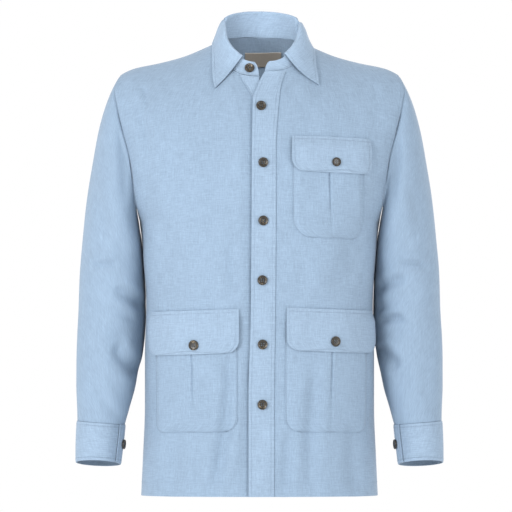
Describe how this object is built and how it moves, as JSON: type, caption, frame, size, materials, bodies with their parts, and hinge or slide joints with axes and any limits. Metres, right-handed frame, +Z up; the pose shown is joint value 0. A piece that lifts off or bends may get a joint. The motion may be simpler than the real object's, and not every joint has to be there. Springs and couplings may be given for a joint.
{
  "type": "bush jacket",
  "caption": "Hollow long-sleeved bush jacket with turned-down collar, buttoned placket, flapped patch pockets and buttoned cuffs.",
  "frame": {"origin": "between the shoulders at the base of the neck, level with the front of the shoulder seams, where the wearer's shoulders carry it", "axes": "+Z up, -Y out of the front, +X to the wearer's left"},
  "size_m": [0.5896, 0.2721, 0.7782],
  "materials": {
    "cloth": "matt plain-woven linen look, pale blue",
    "label": "woven taupe tape, bare",
    "horn": "dark marbled horn look"
  },
  "bodies": {
    "root": {"front_left": "cloth", "front_right": "cloth", "back": "cloth", "sleeve_left": "cloth", "sleeve_right": "cloth", "cuff_left": "cloth", "cuff_right": "cloth", "collar_stand": "cloth", "collar_leaf": "cloth", "front_placket": "cloth", "button_stand": "cloth", "pocket_chest": "cloth", "pocket_left": "cloth", "pocket_right": "cloth", "flap_chest": "cloth", "flap_left": "cloth", "flap_right": "cloth", "neck_label": "label", "button_collar": "horn", "button_front_1": "horn", "button_front_2": "horn", "button_front_3": "horn", "button_front_4": "horn", "button_front_5": "horn", "button_front_6": "horn", "button_chest": "horn", "button_pocket_left": "horn", "button_pocket_right": "horn", "button_cuff_left": "horn", "button_cuff_right": "horn"}
  },
  "joints": []
}
